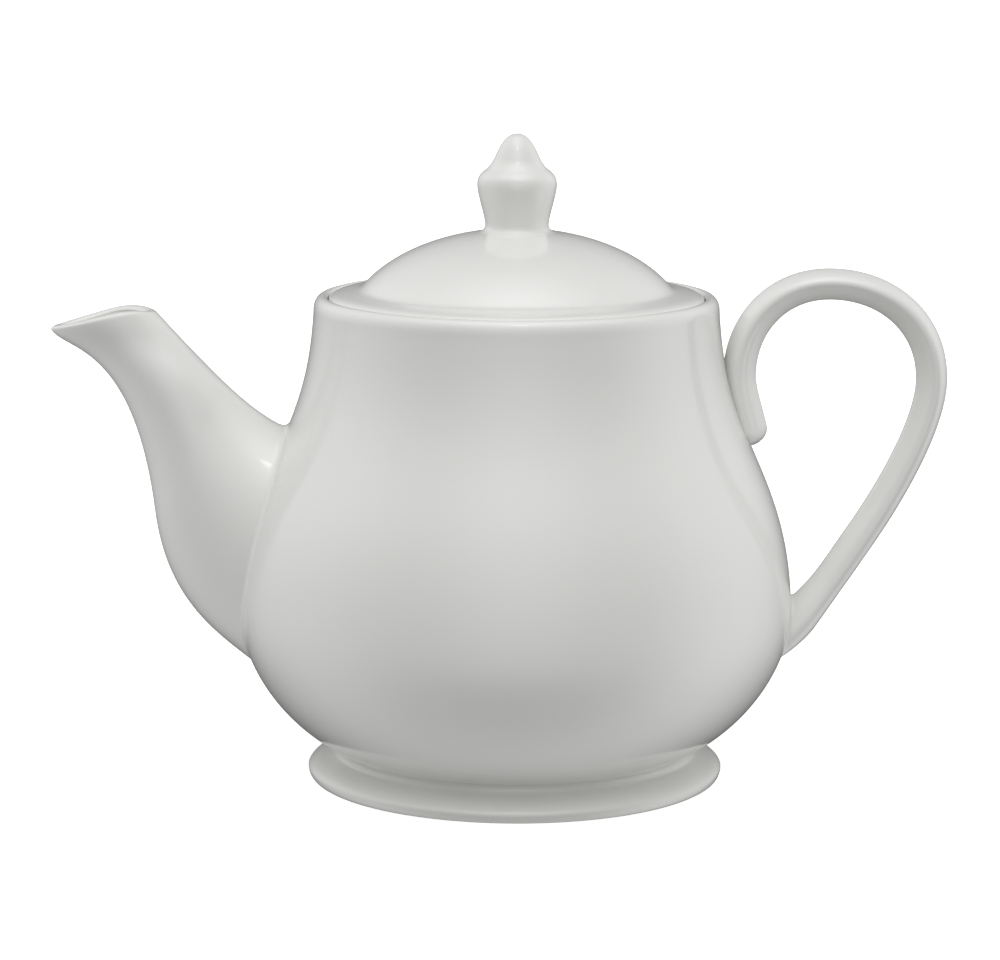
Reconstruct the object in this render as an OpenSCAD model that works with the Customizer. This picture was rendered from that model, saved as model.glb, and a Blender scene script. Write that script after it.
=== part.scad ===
// Porcelain teapot: a pot cast in four pieces (body, foot ring, spout, handle)
// and a lift-off lid cast in three (dome, locating flange, knob).
// The pot's axis is +Z, the foot stands on z = 0, the spout points to -X.

/* [Body] */
// Largest diameter, across the belly
belly_d = 150; // [144:1:156]
// Height of the belly's widest line
belly_z = 44; // [41:1:48]
// Outside diameter just below the rim
rim_d = 109; // [108:0.5:111]
// Height of the rim's crest
rim_z = 131.5; // [130:0.5:135]
// Diameter of the waist, where the body stands on its foot ring
waist_d = 96; // [92:1:98]
// Height of the waist
waist_z = 8; // [8:0.5:10]
// Thickness of the body's wall
wall = 3.2; // [2.8:0.1:3.6]
// Depth of the step that carries the lid, below the rim's crest
seat_depth = 3.2; // [2.8:0.1:3.6]
// Diameter of the mouth inside that step
mouth_d = 88; // [88:0.5:89]

/* [Foot ring] */
// Largest diameter of the foot
foot_d = 112.8; // [110:0.2:116]
// Diameter of the ring that touches the table, at its outer edge
contact_d = 109; // [107:0.5:109.5]

/* [Spout] */
// Reach of the pouring lip from the axis
lip_reach = 125; // [122:0.5:127]
// Height of the pouring lip
lip_z = 121.5; // [119:0.5:123]
// Width of the spout where it leaves the body
spout_root_w = 48; // [42:1:52]
// Width of the spout at its mouth
spout_mouth_w = 18; // [16:0.5:20]
// Wall of the spout
spout_wall = 2.6; // [2.2:0.1:3]
// Diameter of each strainer hole in the body wall behind the spout
strainer_hole_d = 4; // [3:0.5:5]
// Spacing of the strainer holes
strainer_pitch = 7.5; // [7:0.5:8]

/* [Handle] */
// Reach of the handle from the axis
handle_reach = 116; // [114:0.5:118]
// Height of the handle's highest line
handle_top_z = 139; // [136:0.5:141]
// Thickness of the handle, seen from the side
handle_t = 8.4; // [8:0.1:9.5]
// Width of the handle, seen from above
handle_w = 13; // [11:0.5:15]

/* [Lid] */
// Diameter of the lid's edge
lid_d = 100.8; // [99:0.2:101]
// Diameter of the dome where it rises from the edge
dome_base_d = 82.6; // [80:0.2:84]
// Height of the dome's top
dome_top_z = 149.2; // [147:0.2:151]
// Height of the knob's tip
knob_top_z = 174.8; // [172:0.2:178]
// Largest diameter of the knob
knob_d = 21.3; // [19:0.1:23]
// Outside diameter of the locating flange under the lid
flange_d = 86; // [85:0.5:86.5]
// How far the flange hangs below the seat
flange_drop = 9; // [7:0.5:11]
// Diameter of the steam vent
vent_d = 3; // [2:0.5:4]

/* [Hidden] */
porcelain = [0.93, 0.93, 0.91];
bisque = [0.89, 0.87, 0.83];
$fn = 120;

belly_r = belly_d / 2;
rim_r = rim_d / 2;
waist_r = waist_d / 2;
foot_r = foot_d / 2;
lid_r = lid_d / 2;
knob_r = knob_d / 2;
curve_steps = 14;

// How the body's side swells: the pulls of its curves away from rim, belly and waist.
neck_pull = [1.4, -rim_z + 90];
belly_pull_up = 41;
belly_pull_down = 6;
hip_pull = [21.4, 10.5];
hip_pull_inside = [18.4, 10.9];

// The rim: a rounded lip, tighter inside than outside.
lip_h = 4;
rim_crest_r = rim_r - 2.7;
seat_r = rim_r - 3.5;
seat_z = rim_z - seat_depth;
seat_t = 3.2;
seat_slope = 6;

// The floor, and how deep one damp piece is pressed into the next.
floor_under_z = 6.5;
floor_top_z = 10;
floor_edge_r = 42;
press = 0.4;

// The foot ring.
foot_wide_z = 2.6;
foot_t = 4;
foot_top_r = 41;

// The spout, between its upper and lower edges as seen from the side.
spout_top_curve = [[-58, 93.8], [-70, 96], [-85, 113.6], [-98.5, 128.4]];
spout_belly_curve = [[-66, 26.5], [-77, 36.5], [-94.3, 43.6], [-97.7, 72.4]];
spout_lip_curve = [[-97.7, 72.4], [-103, 118], [-121, 115.7], [-lip_reach, lip_z]];
spout_side_count = 28;
spout_rings = 24;
lip_pinch = 0.22;
spout_taper = 1.6;
strainer_z = 62;

// The handle, as a sweep.
handle_sides = 16;
handle_steps = 12;
ridge_shift = 0.9;
ridge_sharpness = 1.25;
scroll_share = 0.035;
flare_share = 0.13;
flare_t = 6.5;
terminal_t = 1;
terminal_share = 0.4;

// The lid.
dome_r = 46.8;
dome_centre_z = 120.4;
lid_t = 3.2;
lid_edge_z = rim_z - 1;
flange_t = 3.2;
vent_r_from_axis = 22;
knob_neck_r = 8.5;
knob_foot_r = 11;

// Point on a cubic curve with end points a, d and control points b, c.
function cubic(a, b, c, d, t) =
    a * pow(1 - t, 3) + 3 * b * pow(1 - t, 2) * t + 3 * c * (1 - t) * t * t + d * pow(t, 3);

function cubic_of(points, t) = cubic(points[0], points[1], points[2], points[3], t);

// Points along such a curve, without its last one.
function curve(a, b, c, d, steps = curve_steps) =
    [for (i = [0 : steps - 1]) cubic(a, b, c, d, i / steps)];

// Flattens a list of point lists.
function joined(lists) = [for (points = lists) for (p = points) p];

// The same points, last one first.
function reversed(points) = [for (i = [len(points) - 1 : -1 : 0]) points[i]];

// Side of the body from under the rim down to the waist.
function body_side() = joined([
    curve([rim_r, rim_z - lip_h], [rim_r, rim_z] + neck_pull,
          [belly_r, belly_z + belly_pull_up], [belly_r, belly_z], 2 * curve_steps),
    curve([belly_r, belly_z], [belly_r, belly_z - belly_pull_down],
          [waist_r, waist_z] + hip_pull, [waist_r, waist_z]),
    [[waist_r, waist_z]]
]);

// Inside of the wall from under the seat down to the floor.
function cavity_side() = joined([
    curve([rim_r - wall, seat_z - seat_t - seat_slope], [rim_r - wall, rim_z] + neck_pull,
          [belly_r - wall, belly_z + belly_pull_up], [belly_r - wall, belly_z], 2 * curve_steps),
    curve([belly_r - wall, belly_z], [belly_r - wall, belly_z - belly_pull_down],
          [waist_r, waist_z] + hip_pull_inside, [floor_edge_r, floor_top_z]),
    [[floor_edge_r, floor_top_z]]
]);

// Rounded lip from the outside of the rim over its crest.
function rim_lip() = curve([rim_crest_r, rim_z], [rim_r - 1, rim_z], [rim_r, rim_z - 1.6],
                           [rim_r, rim_z - lip_h], 6);

// Everything within the body's outer surface, shrunk by the pressed-in depth.
module body_core() {
    side = [for (p = body_side()) p - [press, 0]];
    rotate_extrude()
        polygon(concat([[0, rim_z]], [[side[0][0], rim_z]], side, [[0, waist_z]]));
}

// Hexagonal pattern of straight holes, drilled along the spout's side.
module strainer_holes() {
    rings = 2;
    for (i = [-rings : rings])
        for (j = [max(-rings, -rings - i) : min(rings, rings - i)])
            translate([-belly_r - 5, (i + j / 2) * strainer_pitch,
                       strainer_z + j * strainer_pitch * sin(60)])
                rotate([0, 90, 0])
                    cylinder(d = strainer_hole_d, h = 30, $fn = 24);
}

module pot_body() {
    color(porcelain)
        difference() {
            rotate_extrude()
                polygon(concat(
                    rim_lip(),
                    body_side(),
                    [[floor_edge_r, floor_under_z], [0, floor_under_z], [0, floor_top_z]],
                    reversed(cavity_side()),
                    [[mouth_d / 2, seat_z - seat_t], [mouth_d / 2, seat_z], [seat_r, seat_z],
                     [seat_r, rim_z - 1], [seat_r + 0.5, rim_z - 0.3]]
                ));
            strainer_holes();
        }
}

// Flared ring, hollow underneath, with a flat band that touches the table.
module foot_ring() {
    contact_r = contact_d / 2;
    color(bisque)
        rotate_extrude()
            polygon(concat(
                [[floor_edge_r, floor_under_z]],
                [[waist_r, waist_z]],
                curve([waist_r, waist_z], [waist_r + 0.6, waist_z - 2.5], [foot_r - 1, foot_wide_z + 2.8],
                      [foot_r, foot_wide_z], 10),
                curve([foot_r, foot_wide_z], [foot_r, foot_wide_z - 1.4], [contact_r + 1.3, 0],
                      [contact_r, 0], 6),
                [[contact_r, 0], [contact_r - foot_t, 0]],
                curve([contact_r - foot_t, 0], [contact_r - foot_t - 3, 0.5], [foot_top_r + 2, 3],
                      [foot_top_r, floor_under_z], 6),
                [[foot_top_r, floor_under_z]]
            ));
}

// Upper edge of the spout, from inside the body (t = 0) to the back of its mouth.
function spout_top(t) = cubic_of(spout_top_curve, t);

// Lower edge: a full curve under the belly of the spout, then out to the pouring lip.
function spout_under(t) =
    t < 0.5 ? cubic_of(spout_belly_curve, 2 * t) : cubic_of(spout_lip_curve, 2 * t - 1);

function spout_half_w(t) =
    (spout_mouth_w + (spout_root_w - spout_mouth_w) * pow(1 - t, spout_taper)) / 2;

// One closed section of the spout, inset by the wall.
function spout_section(t, inset) =
    let (top = spout_top(t), under = spout_under(t),
         middle = (top + under) / 2, half = (top - under) / 2,
         shrink = 1 - inset / norm(half), half_w = spout_half_w(t) - inset)
    [for (i = [0 : spout_side_count - 1])
        let (angle = 360 * i / spout_side_count, p = middle + half * shrink * cos(angle))
        [p[0], half_w * sin(angle) * (1 + lip_pinch * t * cos(angle)), p[1]]];

// Faces between two rings of a stack whose rings have the given number of sides.
function band(sides, from, to) =
    [for (i = [0 : sides - 1]) [from * sides + i, to * sides + i,
                                to * sides + (i + 1) % sides, from * sides + (i + 1) % sides]];

module spout() {
    last = spout_rings;
    outside = [for (k = [0 : last]) each spout_section(k / last, 0)];
    inside = [for (k = [0 : last]) each spout_section(k / last, spout_wall)];
    faces = concat(
        [for (k = [0 : last - 1]) each band(spout_side_count, k, k + 1)],
        band(spout_side_count, last, 2 * last + 1),
        [for (k = [last : -1 : 1]) each band(spout_side_count, last + 1 + k, last + k)],
        band(spout_side_count, last + 1, 0)
    );
    color(porcelain)
        difference() {
            polyhedron(concat(outside, inside), faces);
            body_core();
        }
}

// Middle line of the handle in the XZ plane: up from the scroll, over the top, down to the belly.
mid_reach = handle_reach - handle_t / 2;
mid_top = handle_top_z - handle_t / 2;
handle_legs = [
    [[64, 91], [63, 98], [60.1, 104.5], [60.1, 110]],
    [[60.1, 110], [60.1, 123.5], [69.5, mid_top], [84, mid_top]],
    [[84, mid_top], [99.5, mid_top], [mid_reach, 124.5], [mid_reach, 109]],
    [[mid_reach, 109], [mid_reach, 97], [101.2, 77.7], [92.4, 64.8]],
    [[92.4, 64.8], [87.8, 58], [79.8, 44.5], [69, 36.5]]
];

function handle_points() = concat(
    joined([for (leg = handle_legs) curve(leg[0], leg[1], leg[2], leg[3], handle_steps)]),
    [handle_legs[len(handle_legs) - 1][3]]
);

// How much of its full size the section has, rounding off the scroll's end.
function end_round(share) = share < scroll_share ? sqrt(1 - pow(1 - share / scroll_share, 2)) : 1;

// Extra thickness where the handle spreads on to the belly, and along its upper terminal.
function end_flare(share) = share > 1 - flare_share ? flare_t * pow((share - 1) / flare_share + 1, 2)
    : share < terminal_share ? terminal_t * (1 - share / terminal_share) : 0;

function signed_power(v, power) = sign(v) * pow(abs(v), power);

// Section of the handle: nearly an ellipse, with a soft ridge along each side.
function handle_section(centre, along, share) =
    let (outward = [-along[1], along[0]],
         half_t = (handle_t + end_flare(share)) / 2 * max(end_round(share), 0.05),
         half_w = (handle_w + end_flare(share)) / 2 * max(end_round(share), 0.05))
    [for (i = [0 : handle_sides - 1])
        let (angle = 360 * i / handle_sides,
             offset = half_t * signed_power(cos(angle), ridge_sharpness)
                 + ridge_shift * abs(sin(angle)) * end_round(share),
             p = centre + outward * offset)
        [p[0], half_w * signed_power(sin(angle), ridge_sharpness), p[1]]];

module handle() {
    path = handle_points();
    last = len(path) - 1;
    rings = [for (k = [0 : last])
        let (step = path[min(k + 1, last)] - path[max(k - 1, 0)])
        each handle_section(path[k], step / norm(step), k / last)];
    faces = concat(
        [[for (i = [handle_sides - 1 : -1 : 0]) i]],
        [for (k = [0 : last - 1]) each band(handle_sides, k + 1, k)],
        [[for (i = [0 : handle_sides - 1]) last * handle_sides + i]]
    );
    color(porcelain)
        difference() {
            polyhedron(rings, faces);
            body_core();
        }
}

// Height of the dome's outer surface at a radius, and of a surface inset from it.
dome_h = dome_top_z - dome_centre_z;
function dome_z(r, inset = 0) =
    dome_centre_z + (dome_h - inset) * sqrt(1 - pow(r / (dome_r - inset), 2));

function dome_arc(from_r, to_r, inset = 0, steps = 18) =
    [for (i = [0 : steps])
        let (r = from_r + (to_r - from_r) * sin(90 * i / steps))
        [r, dome_z(r, inset)]];

// Domed shell; its flat edge rests on the seat inside the pot's rim.
module lid_dome() {
    base_r = dome_base_d / 2;
    hollow_r = flange_d / 2 - flange_t;
    color(porcelain)
        difference() {
            rotate_extrude()
                polygon(concat(
                    dome_arc(0, base_r),
                    curve([base_r + 0.6, dome_z(base_r) - 0.4], [lid_r - 2, rim_z + 0.6],
                          [lid_r, rim_z + 0.2], [lid_r, lid_edge_z], 8),
                    [[lid_r, lid_edge_z], [lid_r, seat_z + 0.5], [lid_r - 0.5, seat_z], [hollow_r, seat_z]],
                    reversed(dome_arc(0, hollow_r, lid_t))
                ));
            translate([0, vent_r_from_axis, dome_centre_z])
                cylinder(d = vent_d, h = 2 * dome_h, $fn = 24);
        }
}

// Ring that drops into the mouth and keeps the lid in place.
module lid_flange() {
    outer_r = flange_d / 2;
    color(porcelain)
        rotate_extrude()
            polygon([[outer_r - flange_t, seat_z], [outer_r, seat_z],
                     [outer_r, seat_z - flange_drop + 1], [outer_r - 1, seat_z - flange_drop],
                     [outer_r - flange_t + 1, seat_z - flange_drop],
                     [outer_r - flange_t, seat_z - flange_drop + 1]]);
}

// Turned finial: pointed tip, shoulder, tapering stem, spreading foot.
module lid_knob() {
    tip_base = [6.2, knob_top_z - 6.8];
    step_out = [8.4, knob_top_z - 9.6];
    widest = [knob_r, knob_top_z - 13.6];
    neck = [knob_neck_r, dome_top_z + 1.4];
    color(porcelain)
        rotate_extrude()
            polygon(concat(
                curve([0, knob_top_z], [3.2, knob_top_z], [4.6, knob_top_z - 3.3], tip_base, 8),
                curve(tip_base, tip_base + [0.6, -1.2], step_out + [-0.9, 0.7], step_out, 5),
                curve(step_out, step_out + [1.4, -1], widest + [0, 2], widest, 6),
                curve(widest, widest - [0, 2.7], neck + [0.1, 2.4], neck, 10),
                curve(neck, neck - [0, 1.2], [knob_foot_r - 2, dome_z(knob_foot_r) + 0.4],
                      [knob_foot_r, dome_z(knob_foot_r)], 6),
                reversed([for (p = dome_arc(0, knob_foot_r, 0, 5)) p - [0, press]])
            ));
}

pot_body();
foot_ring();
spout();
handle();
lid_dome();
lid_flange();
lid_knob();
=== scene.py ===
"""White porcelain teapot with a lift-off lid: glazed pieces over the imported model, and their studio."""

import math
from bisect import bisect_left

import bmesh
import bpy
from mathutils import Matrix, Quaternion, Vector


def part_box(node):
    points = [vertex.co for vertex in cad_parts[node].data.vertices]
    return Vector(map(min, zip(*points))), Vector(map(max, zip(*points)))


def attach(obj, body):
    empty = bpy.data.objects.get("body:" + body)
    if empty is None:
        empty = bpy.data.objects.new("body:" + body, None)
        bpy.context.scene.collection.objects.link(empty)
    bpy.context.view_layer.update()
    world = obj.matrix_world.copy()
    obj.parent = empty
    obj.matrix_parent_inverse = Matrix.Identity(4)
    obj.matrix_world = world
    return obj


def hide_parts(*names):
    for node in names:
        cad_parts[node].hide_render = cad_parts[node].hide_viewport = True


MM = 0.001

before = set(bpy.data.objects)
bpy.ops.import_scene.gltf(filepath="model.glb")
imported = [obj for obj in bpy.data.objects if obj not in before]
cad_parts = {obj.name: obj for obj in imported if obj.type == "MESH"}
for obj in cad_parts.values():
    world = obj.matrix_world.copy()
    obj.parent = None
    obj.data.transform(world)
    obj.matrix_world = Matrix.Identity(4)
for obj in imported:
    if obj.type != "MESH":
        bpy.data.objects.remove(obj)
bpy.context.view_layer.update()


def box_mm(node):
    """A CAD node's lowest and highest corners, in millimetres."""
    low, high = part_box(node)
    return Vector(low) / MM, Vector(high) / MM


# ---------------------------------------------------------------- sizes, in millimetres

pot_low, pot_high = box_mm("pot_body")
foot_low, foot_high = box_mm("foot_ring")
spout_low, spout_high = box_mm("spout")
handle_low, handle_high = box_mm("handle")
dome_low, dome_high = box_mm("lid_dome")
flange_low, flange_high = box_mm("lid_flange")
knob_low, knob_high = box_mm("lid_knob")

BELLY_R = pot_high.x
BELLY_Z = 44
RIM_R = 54.5
RIM_Z = pot_high.z
WAIST_R = 48
WAIST_Z = foot_high.z
WALL = 3.2
SEAT_Z = dome_low.z
SEAT_T = 3.2
MOUTH_R = 44
FLOOR_EDGE_R = 42
FLOOR_Z = 10
FLOOR_UNDER_Z = pot_low.z
NECK_SWELL = 1.4
NECK_PULL_Z = 90
BELLY_PULL_UP = 41
BELLY_PULL_DOWN = 6
HIP_PULL = Vector((21.4, 10.5))
INNER_HIP_PULL = Vector((18.4, 10.9))
RIM_LIP_H = 4

FOOT_R = foot_high.x
FOOT_WIDE_Z = 2.6
CONTACT_R = FOOT_R - 1.9
CONTACT_T = 3.2
FOOT_TOP_R = 41

LIP_REACH = -spout_low.x
LIP_Z = 121.5
MOUTH_BACK_Z = spout_high.z
SPOUT_WALL = 2.6
PRESS = 0.4
SPOUT_ROOT_W = 48
SPOUT_MOUTH_W = 18
SPOUT_TAPER = 1.6
LIP_PINCH = 0.22
SPOUT_NECK_SHARE = 0.62
SPOUT_NECK_DEPTH = 1.0
LIP_THICKENING = 0.4
LIP_ROLL = 0.3
MOUTH_BOW = 0.045
STRAINER_HOLE_D = 4
STRAINER_PITCH = 7.5
STRAINER_Z = 62
STRAINER_DEPTH = 40

HANDLE_T = 8.4
HANDLE_W = 13
HANDLE_OUT = handle_high.x - HANDLE_T / 2
HANDLE_TOP = handle_high.z - HANDLE_T / 2

LID_R = dome_high.x
SEAT_R = LID_R + 0.35
DOME_BASE_R = 41.3
DOME_TOP_Z = dome_high.z
DOME_CENTRE_Z = 120.4
DOME_R = 46.8
LID_T = 3.2
FLANGE_R = flange_high.x
FLANGE_T = 3.2
FLANGE_LOW_Z = flange_low.z
VENT_D = 3
VENT_OFF_AXIS = 22
VENT_DEPTH = 20

KNOB_TIP_Z = knob_high.z
KNOB_R = 10.65
KNOB_NECK_R = 8.5
KNOB_FOOT_R = knob_high.x

TURN_STEPS = 192
HOLE_SIDES = 24
SHARP_ANGLE = 40
MERGE_DISTANCE = 0.002
SAME_POINT = 1e-6


# ---------------------------------------------------------------- curves


def cubic(a, b, c, d, t):
    """Point at t on the cubic curve with end points a and d and control points b and c."""
    s = 1 - t
    return a * s**3 + b * (3 * s * s * t) + c * (3 * s * t * t) + d * t**3


def curve(a, b, c, d, steps):
    """Points along such a curve, both ends among them."""
    ends = [Vector(p) for p in (a, b, c, d)]
    return [cubic(*ends, k / steps) for k in range(steps + 1)]


def chain(*parts):
    """Joins lists of points, without repeating a point where one list starts on another's end."""
    line = []
    for part in parts:
        for p in part:
            p = Vector(p)
            if not line or (p - line[-1]).length > SAME_POINT:
                line.append(p)
    return line


def side_curve(inset, hip_pull, bottom, steps):
    """Side of the body from the rim's height down to its waist, at an inset from the outside."""
    top = Vector((RIM_R - inset, RIM_Z - RIM_LIP_H))
    neck = (top.x + NECK_SWELL, NECK_PULL_Z)
    belly = Vector((BELLY_R - inset, BELLY_Z))
    hip = Vector((WAIST_R, WAIST_Z)) + hip_pull
    return chain(
        curve(top, neck, belly + Vector((0, BELLY_PULL_UP)), belly, 2 * steps),
        curve(belly, belly - Vector((0, BELLY_PULL_DOWN)), hip, bottom, steps),
    )


def softened(line, reach):
    """Evens out a line's bends by averaging each point with its neighbours; the ends stay."""
    smooth = []
    for k in range(len(line)):
        span = min(reach, k, len(line) - 1 - k)
        near = line[k - span : k + span + 1]
        smooth.append(sum(near, Vector((0, 0))) / len(near))
    return smooth


def evenly(line, step):
    """The same line, with points at an even spacing."""
    points, run, target = [line[0]], 0, step
    for a, b in zip(line, line[1:]):
        length = (b - a).length
        while run + length >= target:
            points.append(a.lerp(b, (target - run) / length))
            target += step
        run += length
    return points + [line[-1]]


SIDE_STEP = 0.8
SIDE_SOFTNESS = 6
sharp_side = evenly(side_curve(0, HIP_PULL, (WAIST_R, WAIST_Z), 60), SIDE_STEP)
outer_side = softened(softened(sharp_side, SIDE_SOFTNESS), SIDE_SOFTNESS)
outer_heights = [p.y for p in reversed(outer_side)]
outer_radii = [p.x for p in reversed(outer_side)]


def body_radius(z):
    """Outer radius of the body at a height."""
    k = min(max(bisect_left(outer_heights, z), 1), len(outer_heights) - 1)
    z0, z1 = outer_heights[k - 1 : k + 1]
    share = min(max((z - z0) / (z1 - z0), 0), 1)
    return outer_radii[k - 1] + (outer_radii[k] - outer_radii[k - 1]) * share


def body_slope(z):
    """How much wider the body gets per millimetre of height."""
    return body_radius(z + 0.5) - body_radius(z - 0.5)


def body_normal(p):
    """Direction straight out of the body's wall, beside a point."""
    return Vector((p.x, p.y, -body_slope(p.z) * math.hypot(p.x, p.y))).normalized()


def body_gap(p):
    """How far a point is outside the body's wall; negative inside."""
    beside = math.hypot(p.x, p.y) - body_radius(p.z)
    return beside / math.hypot(1, body_slope(p.z))


# ---------------------------------------------------------------- meshes


def piece(name, verts, faces, node, material, sharp_from=SHARP_ANGLE):
    """Makes a smooth object from points in millimetres, in place of a CAD node and riding with it."""
    mesh = bpy.data.meshes.new(name)
    mesh.from_pydata([v * MM for v in verts], [], faces)
    shape = bmesh.new()
    shape.from_mesh(mesh)
    bmesh.ops.recalc_face_normals(shape, faces=shape.faces)
    shape.to_mesh(mesh)
    shape.free()
    mesh.polygons.foreach_set("use_smooth", [True] * len(mesh.polygons))
    mesh.set_sharp_from_angle(angle=math.radians(sharp_from))
    mesh.materials.append(material)
    obj = bpy.data.objects.new(name, mesh)
    bpy.context.scene.collection.objects.link(obj)
    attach(obj, BODY_OF[node])
    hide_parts(node)
    return obj


def bands(pairs, sides):
    """Faces between pairs of rings of points, where a ring of one point is a pole."""
    faces = []
    for low, high in pairs:
        for k in range(sides):
            n = (k + 1) % sides
            corners = [low[k % len(low)], low[n % len(low)], high[n % len(high)], high[k % len(high)]]
            corners = list(dict.fromkeys(corners))
            if len(corners) > 2:
                faces.append(corners)
    return faces


def turned(profile, closed=True, steps=TURN_STEPS):
    """Points and faces of a profile, given as (radius, height), turned about the axis."""
    verts, rings = [], []
    for p in profile:
        if p.x < SAME_POINT:
            rings.append([len(verts)])
            verts.append(Vector((0, 0, p.y)))
            continue
        rings.append(range(len(verts), len(verts) + steps))
        for k in range(steps):
            angle = 2 * math.pi * k / steps
            verts.append(Vector((p.x * math.cos(angle), p.x * math.sin(angle), p.y)))
    pairs = list(zip(rings, rings[1:]))
    if closed:
        pairs.append((rings[-1], rings[0]))
    return verts, bands(pairs, steps)


def skinned(rings, cap_start=False, loop=False):
    """Points and faces of a skin over rings of points; a ring of one point is a pole."""
    verts, spans = [], []
    for ring in rings:
        spans.append(range(len(verts), len(verts) + len(ring)))
        verts.extend(ring)
    sides = max(len(span) for span in spans)
    pairs = list(zip(spans, spans[1:]))
    if loop:
        pairs.append((spans[-1], spans[0]))
    faces = bands(pairs, sides)
    if cap_start:
        faces.append(list(reversed(spans[0])))
    return verts, faces


def drill(obj, holes):
    """Cuts holes, each given as (centre, direction, radius, length) in millimetres, through a piece."""
    cutter_shape = bmesh.new()
    for centre, direction, radius, length in holes:
        turn = Vector(direction).to_track_quat("Z", "Y").to_matrix().to_4x4()
        turn.translation = Vector(centre) * MM
        bmesh.ops.create_cone(
            cutter_shape,
            cap_ends=True,
            segments=HOLE_SIDES,
            radius1=radius * MM,
            radius2=radius * MM,
            depth=length * MM,
            matrix=turn,
        )
    cutter_mesh = bpy.data.meshes.new("cutter")
    cutter_shape.to_mesh(cutter_mesh)
    cutter_shape.free()
    cutter = bpy.data.objects.new("cutter", cutter_mesh)
    bpy.context.scene.collection.objects.link(cutter)
    cut = obj.modifiers.new("holes", "BOOLEAN")
    cut.operation = "DIFFERENCE"
    cut.solver = "EXACT"
    cut.object = cutter
    bpy.context.view_layer.update()
    seen = obj.evaluated_get(bpy.context.evaluated_depsgraph_get())
    drilled = bpy.data.meshes.new_from_object(seen)
    obj.modifiers.remove(cut)
    obj.data = drilled
    clean = bmesh.new()
    clean.from_mesh(drilled)
    bmesh.ops.remove_doubles(clean, verts=clean.verts, dist=MERGE_DISTANCE * MM)
    clean.to_mesh(drilled)
    clean.free()
    drilled.set_sharp_from_angle(angle=math.radians(SHARP_ANGLE))
    bpy.data.objects.remove(cutter)


# ---------------------------------------------------------------- materials


def add(tree, kind, **inputs):
    """Adds a node and sets its named inputs."""
    made = tree.nodes.new(kind)
    for name, value in inputs.items():
        made.inputs[name.replace("_", " ")].default_value = value
    return made


def glaze(name, light, shade, roughness, roughness_spread, ripple_depth, grain_depth, coat):
    """Fired porcelain: two near whites in soft patches, a slow ripple in the glaze and a fine grain."""
    material = bpy.data.materials.new(name)
    material.use_nodes = True
    tree = material.node_tree
    link = tree.links.new
    shader = tree.nodes["Principled BSDF"]
    shader.inputs["IOR"].default_value = 1.5
    shader.inputs["Coat Weight"].default_value = coat
    shader.inputs["Coat Roughness"].default_value = 0.04
    place = add(tree, "ShaderNodeTexCoord")

    patches = add(tree, "ShaderNodeTexNoise", Scale=26, Detail=3, Roughness=0.55)
    tint = add(tree, "ShaderNodeMix")
    tint.data_type = "RGBA"
    tint.inputs["A"].default_value = (*shade, 1)
    tint.inputs["B"].default_value = (*light, 1)
    link(place.outputs["Object"], patches.inputs["Vector"])
    link(patches.outputs["Fac"], tint.inputs["Factor"])
    link(tint.outputs["Result"], shader.inputs["Base Color"])

    smear = add(tree, "ShaderNodeTexNoise", Scale=70, Detail=4, Roughness=0.6)
    polish = add(tree, "ShaderNodeMapRange")
    polish.inputs["To Min"].default_value = roughness - roughness_spread
    polish.inputs["To Max"].default_value = roughness + roughness_spread
    link(place.outputs["Object"], smear.inputs["Vector"])
    link(smear.outputs["Fac"], polish.inputs["Value"])
    link(polish.outputs["Result"], shader.inputs["Roughness"])

    ripple = add(tree, "ShaderNodeTexNoise", Scale=55, Detail=1, Roughness=0.4)
    grain = add(tree, "ShaderNodeTexNoise", Scale=900, Detail=2, Roughness=0.5)
    ripple_bump = add(tree, "ShaderNodeBump", Strength=1, Distance=ripple_depth * MM)
    grain_bump = add(tree, "ShaderNodeBump", Strength=1, Distance=grain_depth * MM)
    link(place.outputs["Object"], ripple.inputs["Vector"])
    link(place.outputs["Object"], grain.inputs["Vector"])
    link(ripple.outputs["Fac"], ripple_bump.inputs["Height"])
    link(grain.outputs["Fac"], grain_bump.inputs["Height"])
    link(ripple_bump.outputs["Normal"], grain_bump.inputs["Normal"])
    link(grain_bump.outputs["Normal"], shader.inputs["Normal"])
    return material


porcelain = glaze(
    "glazed_porcelain",
    light=(0.845, 0.848, 0.822),
    shade=(0.820, 0.826, 0.800),
    roughness=0.22,
    roughness_spread=0.05,
    ripple_depth=0.03,
    grain_depth=0.001,
    coat=0.6,
)
# Darker copy of the body's glaze for the foot ring: painted shade, standing in for the shade the foot
# lies in under the belly.
foot_porcelain = glaze(
    "foot_porcelain",
    light=(0.785, 0.788, 0.758),
    shade=(0.760, 0.766, 0.736),
    roughness=0.22,
    roughness_spread=0.05,
    ripple_depth=0.03,
    grain_depth=0.001,
    coat=0.6,
)
bare_porcelain = glaze(
    "bare_porcelain",
    light=(0.830, 0.820, 0.790),
    shade=(0.790, 0.780, 0.745),
    roughness=0.55,
    roughness_spread=0.10,
    ripple_depth=0.02,
    grain_depth=0.02,
    coat=0,
)


# ---------------------------------------------------------------- the pot

BODY_OF = {
    "pot_body": "pot",
    "foot_ring": "pot",
    "spout": "pot",
    "handle": "pot",
    "lid_dome": "lid",
    "lid_flange": "lid",
    "lid_knob": "lid",
}


def strainer_holes():
    """Hexagonal pattern of straight holes through the wall behind the spout."""
    rings = 2
    holes = []
    for i in range(-rings, rings + 1):
        for j in range(max(-rings, -rings - i), min(rings, rings - i) + 1):
            y = (i + j / 2) * STRAINER_PITCH
            z = STRAINER_Z + j * STRAINER_PITCH * math.sin(math.radians(60))
            holes.append(((-BELLY_R, y, z), (1, 0, 0), STRAINER_HOLE_D / 2, STRAINER_DEPTH))
    return holes


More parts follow.
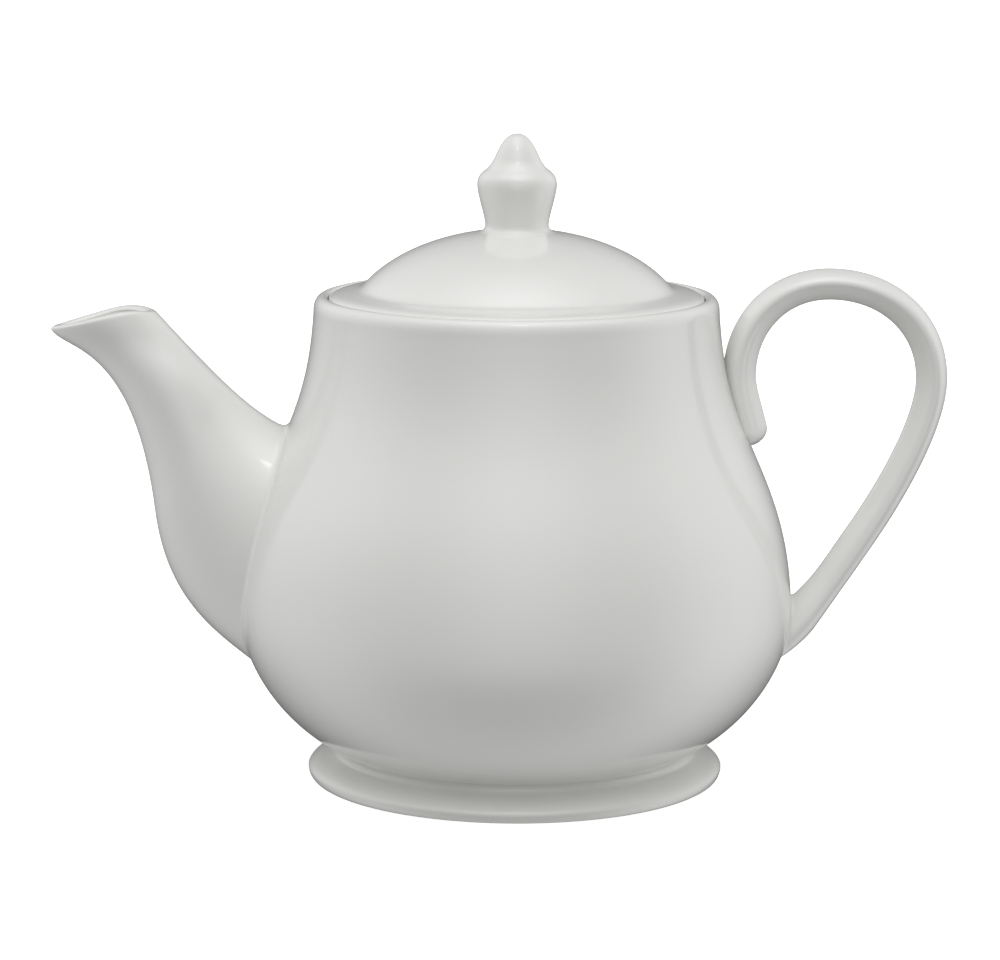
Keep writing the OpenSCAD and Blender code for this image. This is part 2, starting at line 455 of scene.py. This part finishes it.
def make_body():
    """Thrown body: rounded rim, seat for the lid inside it, and an even wall down to the floor."""
    seat_low = SEAT_Z - SEAT_T
    inner_side = side_curve(WALL, INNER_HIP_PULL, (FLOOR_EDGE_R, FLOOR_Z), 40)
    inner_side = [p for p in inner_side if p.y < seat_low - 5]
    under_seat = inner_side[0]
    rim_crest = Vector((SEAT_R + 1.2, RIM_Z))
    mouth_low = Vector((MOUTH_R + 0.6, seat_low))
    mouth_top = Vector((MOUTH_R + 0.8, SEAT_Z))
    profile = chain(
        curve(rim_crest, (RIM_R - 1, RIM_Z), (RIM_R, RIM_Z - 1.6), (RIM_R, RIM_Z - RIM_LIP_H), 12),
        outer_side,
        [(FLOOR_EDGE_R, FLOOR_UNDER_Z), (0, FLOOR_UNDER_Z)],
    )
    inside = chain(
        [(0, FLOOR_Z)],
        list(reversed(inner_side)),
        curve(under_seat, under_seat + Vector((-0.1, 3)), (MOUTH_R + 2, seat_low - 1), mouth_low, 8),
        curve(mouth_low, (MOUTH_R, seat_low + 0.6), (MOUTH_R, SEAT_Z - 0.8), mouth_top, 8),
        curve(
            (SEAT_R - 0.8, SEAT_Z),
            (SEAT_R - 0.3, SEAT_Z),
            (SEAT_R, SEAT_Z + 0.3),
            (SEAT_R, SEAT_Z + 0.8),
            6,
        ),
        curve((SEAT_R, RIM_Z - 1.4), (SEAT_R, RIM_Z - 0.5), (SEAT_R + 0.4, RIM_Z), rim_crest, 8),
    )
    verts, faces = turned(profile + inside[:-1])
    body = piece("teapot_body", verts, faces, "pot_body", porcelain)
    drill(body, strainer_holes())


def make_foot():
    """Flared foot ring, hollow underneath, on a narrow flat band; slip rounds its joint with the body."""
    crease = Vector((WAIST_R, WAIST_Z))
    flare = curve(
        crease,
        (WAIST_R + 0.6, WAIST_Z - 2.5),
        (FOOT_R - 1, FOOT_WIDE_Z + 2.8),
        (FOOT_R, FOOT_WIDE_Z),
        24,
    )
    sink = Vector((-0.05, 0.1))
    slip_top = outer_side[-4] + sink
    slip_end = 6
    profile = chain(
        curve(
            slip_top,
            slip_top.lerp(crease, 0.6),
            flare[slip_end].lerp(crease, 0.6),
            flare[slip_end],
            12,
        ),
        flare[slip_end:],
        curve(
            (FOOT_R, FOOT_WIDE_Z),
            (FOOT_R, FOOT_WIDE_Z - 1.4),
            (CONTACT_R + 1.3, 0),
            (CONTACT_R, 0),
            10,
        ),
        curve(
            (CONTACT_R - CONTACT_T, 0),
            (CONTACT_R - 7, 0.5),
            (FOOT_TOP_R + 2, 3),
            (FOOT_TOP_R, FLOOR_UNDER_Z),
            12,
        ),
        [(FLOOR_EDGE_R, FLOOR_UNDER_Z)],
    )
    verts, faces = turned(profile)
    # The foot takes the darker copy of the glaze, which is painted shade.
    piece("teapot_foot", verts, faces, "foot_ring", foot_porcelain)


# ---------------------------------------------------------------- pieces rooted in the body's wall


LONGEST_FILLET = 2.2


def root_share(line, low, high):
    """Where a line that starts inside the body comes out of its wall."""
    for _ in range(40):
        middle = (low + high) / 2
        if body_gap(line(middle)) < 0:
            low = middle
        else:
            high = middle
    return high


def fillet_rows(lines, search, radius, steps, sink=0.12):
    """Rows of points that lead each line out of the wall through a fillet, and where the fillet ends."""
    count = len(lines)
    shares = [root_share(line, *search) for line in lines]
    corners = [line(share) for line, share in zip(lines, shares)]
    centre = sum(corners, Vector((0, 0, 0))) / count
    rows = [[] for _ in range(steps + 1)]
    starts = []
    for k in range(count):
        corner = corners[k]
        normal = body_normal(corner)
        along = (corners[(k + 1) % count] - corners[k - 1]).normalized()
        away = along.cross(normal).normalized()
        if away.dot(corner - centre) < 0:
            away = -away
        step = 1e-3
        ahead = lines[k](shares[k] + step) - corner
        speed = ahead.length / step
        wall = ahead - along * ahead.dot(along)
        angle = wall.angle(away)
        reach = min(radius / math.tan(angle / 2), LONGEST_FILLET * radius)
        start = shares[k] + reach / speed
        toe = corner + away * reach
        toe -= body_normal(toe) * (body_gap(toe) + sink)
        starts.append(start)
        for row, points in enumerate(rows):
            u = row / steps
            points.append(toe * (1 - u) ** 2 + corner * (2 * u * (1 - u)) + lines[k](start) * u * u)
    return rows, starts


# The spout's upper edge and the two curves of its lower edge, as (x, z) seen from the side.
SPOUT_TOP = [Vector(p) for p in ((-58, 93.8), (-70, 96), (-85, 113.6), (-98.5, MOUTH_BACK_Z))]
SPOUT_BELLY = [Vector(p) for p in ((-66, 26.5), (-77, 36.5), (-94.3, 43.6), (-97.7, 72.4))]
SPOUT_LIP = [Vector(p) for p in ((-97.7, 72.4), (-103, 118), (-121, 115.7), (-LIP_REACH, LIP_Z))]


def spout_point(angle, t, inset):
    """Point on the spout's skin: t runs from its root inside the body to its mouth."""
    top = cubic(*SPOUT_TOP, t)
    under = cubic(*SPOUT_BELLY, 2 * t) if t < 0.5 else cubic(*SPOUT_LIP, 2 * t - 1)
    middle = (top + under) / 2
    half = (top - under) / 2
    half_w = (SPOUT_MOUTH_W + (SPOUT_ROOT_W - SPOUT_MOUTH_W) * (1 - t) ** SPOUT_TAPER) / 2
    neck = max(t - SPOUT_NECK_SHARE, 0) / (1 - SPOUT_NECK_SHARE)
    half_w -= SPOUT_NECK_DEPTH * math.sin(math.pi * neck) ** 2
    inset *= 1 + LIP_THICKENING * neck
    half_w -= inset
    p = middle + half * ((1 - inset / half.length) * math.cos(angle))
    pinch = 1 + LIP_PINCH * t * math.cos(angle)
    return Vector((p.x, half_w * math.sin(angle) * pinch, p.y))


def mouth_share(angle):
    """Where a line along the spout ends: the rim of the mouth dips in a soft bow at its back."""
    return 1 - MOUTH_BOW * max(math.cos(angle), 0) ** 4


def make_spout():
    """Hollow spout: a filleted root on the belly, and a rolled, pointed pouring lip."""
    sides, wall_steps, lip_steps = 96, 70, 10
    angles = [2 * math.pi * k / sides for k in range(sides)]
    outer = [lambda t, a=a: spout_point(a, t, 0) for a in angles]
    inner = [lambda t, a=a: spout_point(a, t, SPOUT_WALL) for a in angles]
    rows, starts = fillet_rows(outer, (0, 0.6), radius=2.6, steps=10)
    ends = [mouth_share(a) for a in angles]
    for k in range(1, wall_steps + 1):
        u = k / wall_steps
        rows.append([line(start + (end - start) * u) for line, start, end in zip(outer, starts, ends)])
    edge, bore = rows[-1], [line(end) for line, end in zip(inner, ends)]
    forward = [(line(end) - line(end - 0.02)).normalized() for line, end in zip(outer, ends)]
    for k in range(1, lip_steps):
        angle = math.pi * k / lip_steps
        rows.append([
            (a + b) / 2
            + (a - b) / 2 * math.cos(angle)
            + f * (LIP_ROLL * (a - b).length * math.sin(angle))
            for a, b, f in zip(edge, bore, forward)
        ])
    inner_starts = [root_share(line, 0, 0.6) for line in inner]
    for k in range(wall_steps // 2 + 1):
        u = 1 - 2 * k / wall_steps
        rows.append([
            line(start + (end - start) * u)
            for line, start, end in zip(inner, inner_starts, ends)
        ])
    rows.append([p - body_normal(p) * PRESS for p in rows[-1]])
    verts, faces = skinned(rows, loop=True)
    piece("teapot_spout", verts, faces, "spout", porcelain, sharp_from=60)


# The handle's middle line, as (x, z) curves from its root on the belly to its scroll on the neck.
HANDLE_LEGS = [
    [Vector(p) for p in leg]
    for leg in (
        ((69, 36.5), (79.8, 44.5), (87.8, 58), (92.4, 64.8)),
        ((92.4, 64.8), (101.2, 77.7), (HANDLE_OUT, 97), (HANDLE_OUT, 109)),
        ((HANDLE_OUT, 109), (HANDLE_OUT, 124.5), (99.5, HANDLE_TOP), (84, HANDLE_TOP)),
        ((84, HANDLE_TOP), (69.5, HANDLE_TOP), (60.1, 123.5), (60.1, 110)),
        ((60.1, 110), (60.1, 104.5), (63, 98), (64, 91)),
    )
]
SCROLL_SHARE = 0.042
SCROLL_TAPER = 0.65
FLARE_SHARE = 0.13
FLARE_T = 6.5
TERMINAL_SHARE = 0.4
TERMINAL_T = 1
RIDGE = 0.8
RIDGE_START = 0.2
RIDGE_END = 0.45
RIDGE_SHIFT = 0.9
TUCK_SHARE = 0.06
TUCK_DEPTH = 3.5


def handle_middle(t):
    """Point on the handle's middle line, at a share of the way from its root to its scroll."""
    leg = min(int(t * len(HANDLE_LEGS)), len(HANDLE_LEGS) - 1)
    return cubic(*HANDLE_LEGS[leg], t * len(HANDLE_LEGS) - leg)


def handle_point(angle, t):
    """Point on the handle's skin: an ellipse round the middle line, ridged along its upper sides."""
    step = 1e-3
    centre = handle_middle(t)
    ahead = (handle_middle(min(t + step, 1)) - handle_middle(max(t - step, 0))).normalized()
    outward = Vector((ahead.y, -ahead.x))
    from_scroll = 1 - t
    flare = 0
    if t < FLARE_SHARE:
        flare = FLARE_T * (1 - t / FLARE_SHARE) ** 2
    elif from_scroll < TERMINAL_SHARE:
        flare = TERMINAL_T * (1 - from_scroll / TERMINAL_SHARE)
    rounding = 1
    if from_scroll < SCROLL_SHARE:
        rounding = max(1 - (1 - from_scroll / SCROLL_SHARE) ** 2, 0) ** SCROLL_TAPER
    sideways = math.sin(angle)
    ridge = RIDGE * min(max((t - RIDGE_START) / (RIDGE_END - RIDGE_START), 0), 1)
    tuck = TUCK_DEPTH * (max(1 - t / TUCK_SHARE, 0) * max(math.cos(angle), 0)) ** 2
    across = (HANDLE_T + flare) / 2 * math.cos(angle) + RIDGE_SHIFT * sideways**2 - tuck
    side = (HANDLE_W + flare) / 2 * (sideways + ridge * sideways**3) / (1 + ridge)
    p = centre + outward * (across * rounding)
    return Vector((p.x, side * rounding, p.y))


def make_handle():
    """Looped handle: rooted on the belly by a flare, and laid on the neck in a short scroll."""
    sides, steps, scroll_steps = 64, 220, 12
    lines = [lambda t, a=2 * math.pi * k / sides: handle_point(a, t) for k in range(sides)]
    rows, starts = fillet_rows(lines, (0, 0.15), radius=1.0, steps=8)
    last = 1 - SCROLL_SHARE
    for k in range(1, steps + 1):
        rows.append([line(start + (last - start) * k / steps) for line, start in zip(lines, starts)])
    for k in range(1, scroll_steps):
        angle = math.pi / 2 * k / scroll_steps
        rows.append([line(last + SCROLL_SHARE * math.sin(angle)) for line in lines])
    rows.append([lines[0](1)])
    verts, faces = skinned(rows, cap_start=True)
    piece("teapot_handle", verts, faces, "handle", porcelain, sharp_from=70)


# ---------------------------------------------------------------- the lid


def dome_z(r, inset=0):
    """Height of the dome's outer surface at a radius, or of a surface inset from it."""
    rise = (DOME_TOP_Z - DOME_CENTRE_Z - inset) * math.sqrt(1 - (r / (DOME_R - inset)) ** 2)
    return DOME_CENTRE_Z + rise


def dome_arc(to_r, inset, steps):
    """Points of the dome from its top out to a radius."""
    radii = [to_r * math.sin(math.pi / 2 * k / steps) for k in range(steps + 1)]
    return [Vector((r, dome_z(r, inset))) for r in radii]


def make_lid():
    """Domed lid with a rolled edge, which sits on the seat inside the pot's rim."""
    edge_z = RIM_Z - 1
    hollow_r = FLANGE_R - FLANGE_T
    profile = chain(
        dome_arc(DOME_BASE_R - 1, 0, 40),
        curve(
            (DOME_BASE_R - 1, dome_z(DOME_BASE_R - 1)),
            (DOME_BASE_R + 0.5, dome_z(DOME_BASE_R + 0.5)),
            (DOME_BASE_R + 0.8, RIM_Z + 1.6),
            (DOME_BASE_R + 2.6, RIM_Z + 1.3),
            8,
        ),
        curve(
            (DOME_BASE_R + 2.6, RIM_Z + 1.3),
            (LID_R - 3, RIM_Z + 0.6),
            (LID_R, RIM_Z + 0.6),
            (LID_R, edge_z - 0.4),
            16,
        ),
        curve(
            (LID_R, SEAT_Z + 0.5),
            (LID_R, SEAT_Z + 0.2),
            (LID_R - 0.2, SEAT_Z),
            (LID_R - 0.5, SEAT_Z),
            4,
        ),
        list(reversed(dome_arc(hollow_r, LID_T, 30))),
    )
    verts, faces = turned(profile, closed=False)
    lid = piece("teapot_lid", verts, faces, "lid_dome", porcelain)
    vent_z = dome_z(VENT_OFF_AXIS)
    drill(lid, [((0, VENT_OFF_AXIS, vent_z), (0, 0, 1), VENT_D / 2, VENT_DEPTH)])


def make_flange():
    """Unglazed ring under the lid that drops into the mouth."""
    inner_r = FLANGE_R - FLANGE_T
    low = FLANGE_LOW_Z
    profile = chain(
        [(inner_r, SEAT_Z)],
        curve((FLANGE_R, SEAT_Z), (FLANGE_R, SEAT_Z - 2), (FLANGE_R, low + 3), (FLANGE_R, low + 1.4), 6),
        curve(
            (FLANGE_R, low + 1.4),
            (FLANGE_R, low + 0.6),
            (FLANGE_R - 0.6, low),
            (FLANGE_R - 1.4, low),
            6,
        ),
        curve((inner_r + 1.4, low), (inner_r + 0.6, low), (inner_r, low + 0.6), (inner_r, low + 1.4), 6),
    )
    verts, faces = turned(profile)
    piece("teapot_lid_flange", verts, faces, "lid_flange", bare_porcelain)


def make_knob():
    """Turned finial: pointed tip, shoulder, tapering stem and a foot that spreads on to the dome."""
    tip_base = Vector((6.2, KNOB_TIP_Z - 6.8))
    step_out = Vector((8.4, KNOB_TIP_Z - 9.6))
    widest = Vector((KNOB_R, KNOB_TIP_Z - 13.6))
    neck = Vector((KNOB_NECK_R, DOME_TOP_Z + 1.4))
    foot = Vector((KNOB_FOOT_R, dome_z(KNOB_FOOT_R) - 0.02))
    profile = chain(
        curve((0, KNOB_TIP_Z), (3.2, KNOB_TIP_Z), (4.6, KNOB_TIP_Z - 3.3), tip_base, 16),
        curve(tip_base, tip_base + Vector((0.6, -1.2)), step_out + Vector((-0.9, 0.7)), step_out, 8),
        curve(step_out, step_out + Vector((1.4, -1)), widest + Vector((0, 2)), widest, 10),
        curve(widest, widest - Vector((0, 2.7)), neck + Vector((0.1, 2.4)), neck, 16),
        curve(neck, neck - Vector((0, 1.2)), foot + Vector((-2, 0.4)), foot, 10),
        [(KNOB_FOOT_R - 1, foot.y - 0.6), (0, dome_z(0) - 0.6)],
    )
    verts, faces = turned(profile, closed=False)
    piece("teapot_lid_knob", verts, faces, "lid_knob", porcelain)


make_body()
make_foot()
make_spout()
make_handle()
make_lid()
make_flange()
make_knob()


# ---------------------------------------------------------------- the studio


def make_floor():
    """Plain pale floor, which the camera sees and the teapot's glaze doesn't."""
    size = 20
    mesh = bpy.data.meshes.new("floor")
    corners = [Vector((x * size, y * size, 0)) for x, y in ((-1, -1), (1, -1), (1, 1), (-1, 1))]
    mesh.from_pydata(corners, [], [(0, 1, 2, 3)])
    floor = bpy.data.objects.new("floor", mesh)
    bpy.context.scene.collection.objects.link(floor)
    material = bpy.data.materials.new("pale_floor")
    material.use_nodes = True
    shader = material.node_tree.nodes["Principled BSDF"]
    shader.inputs["Base Color"].default_value = (0.9, 0.9, 0.9, 1)
    shader.inputs["Roughness"].default_value = 0.9
    shader.inputs["Emission Color"].default_value = (1, 1, 1, 1)
    shader.inputs["Emission Strength"].default_value = 0.6
    mesh.materials.append(material)
    floor.visible_diffuse = False
    floor.visible_glossy = False


# Soft lights of the white tent round the teapot: azimuth from the camera's side, elevation, strength.
TENT = {
    "overhead": (0, 70, 2.3),
    "front": (0, 10, 0.9),
    "right": (90, 0, 0.5),
    "upper_right": (90, 30, 0.45),
    "left": (270, 30, 0.85),
    "back_right": (135, 15, 0.8),
    "back_left": (225, 15, 0.85),
    "table": (0, -90, 0.7),
    "table_right": (90, -35, 1.1),
    "table_left": (270, -35, 0.9),
}
TENT_FOCUS = 6
TEAPOT_MIDDLE = (0, 0, 0.07)


def lamp_direction(azimuth, elevation):
    """Direction towards a soft light of the tent."""
    a, e = math.radians(azimuth), math.radians(elevation)
    return math.sin(a) * math.cos(e), -math.cos(a) * math.cos(e), math.sin(e)


def make_world():
    """White tent: a few broad soft lights on the teapot, and plain white where the camera sees it."""
    world = bpy.data.worlds.new("studio")
    bpy.context.scene.world = world
    world.use_nodes = True
    tree = world.node_tree
    tree.nodes.clear()
    link = tree.links.new
    place = add(tree, "ShaderNodeTexCoord")
    total = None
    for azimuth, elevation, strength in TENT.values():
        facing = tree.nodes.new("ShaderNodeVectorMath")
        facing.operation = "DOT_PRODUCT"
        facing.inputs[1].default_value = lamp_direction(azimuth, elevation)
        front = tree.nodes.new("ShaderNodeMath")
        front.operation = "MAXIMUM"
        front.inputs[1].default_value = 0
        falloff = tree.nodes.new("ShaderNodeMath")
        falloff.operation = "POWER"
        falloff.inputs[1].default_value = TENT_FOCUS
        amount = tree.nodes.new("ShaderNodeMath")
        amount.operation = "MULTIPLY_ADD"
        amount.inputs[1].default_value = strength
        amount.inputs[2].default_value = 0
        link(place.outputs["Generated"], facing.inputs[0])
        link(facing.outputs["Value"], front.inputs[0])
        link(front.outputs["Value"], falloff.inputs[0])
        link(falloff.outputs["Value"], amount.inputs[0])
        if total:
            link(total.outputs["Value"], amount.inputs[2])
        total = amount
    fill = add(tree, "ShaderNodeBackground")
    seen = add(tree, "ShaderNodeBackground", Strength=1)
    seen.inputs["Color"].default_value = (1, 1, 1, 1)
    fill.inputs["Color"].default_value = (1, 1, 1, 1)
    path = add(tree, "ShaderNodeLightPath")
    mix = add(tree, "ShaderNodeMixShader")
    out = add(tree, "ShaderNodeOutputWorld")
    link(total.outputs["Value"], fill.inputs["Strength"])
    link(path.outputs["Is Camera Ray"], mix.inputs["Fac"])
    link(fill.outputs["Background"], mix.inputs[1])
    link(seen.outputs["Background"], mix.inputs[2])
    link(mix.outputs["Shader"], out.inputs["Surface"])


def softbox(name, place, size, power):
    """Square soft light of a size, in metres, aimed at the teapot's middle."""
    light = bpy.data.lights.new(name, "AREA")
    light.shape = "SQUARE"
    light.size = size
    light.energy = power
    lamp = bpy.data.objects.new(name, light)
    bpy.context.scene.collection.objects.link(lamp)
    lamp.location = place
    aim = Vector(TEAPOT_MIDDLE) - Vector(place)
    lamp.rotation_mode = "QUATERNION"
    lamp.rotation_quaternion = aim.to_track_quat("-Z", "Y")


def make_camera():
    """Camera a metre in front of the teapot, a little above it and looking slightly down."""
    pitch, yaw, roll = (math.radians(a) for a in (10.035, -0.245, 0.211))
    data = bpy.data.cameras.new("camera")
    data.sensor_width = 36
    data.lens = 135.06
    camera = bpy.data.objects.new("camera", data)
    bpy.context.scene.collection.objects.link(camera)
    camera.location = (0, -1, 0.258)
    level = math.cos(pitch)
    aim = Vector((math.sin(yaw) * level, math.cos(yaw) * level, -math.sin(pitch)))
    camera.rotation_mode = "QUATERNION"
    camera.rotation_quaternion = aim.to_track_quat("-Z", "Y") @ Quaternion((0, 0, 1), roll)
    bpy.context.scene.camera = camera


make_floor()
make_world()
softbox("key", (0.02, -0.55, 0.95), 0.12, 0.2)
make_camera()
bpy.context.scene.view_settings.view_transform = "Standard"
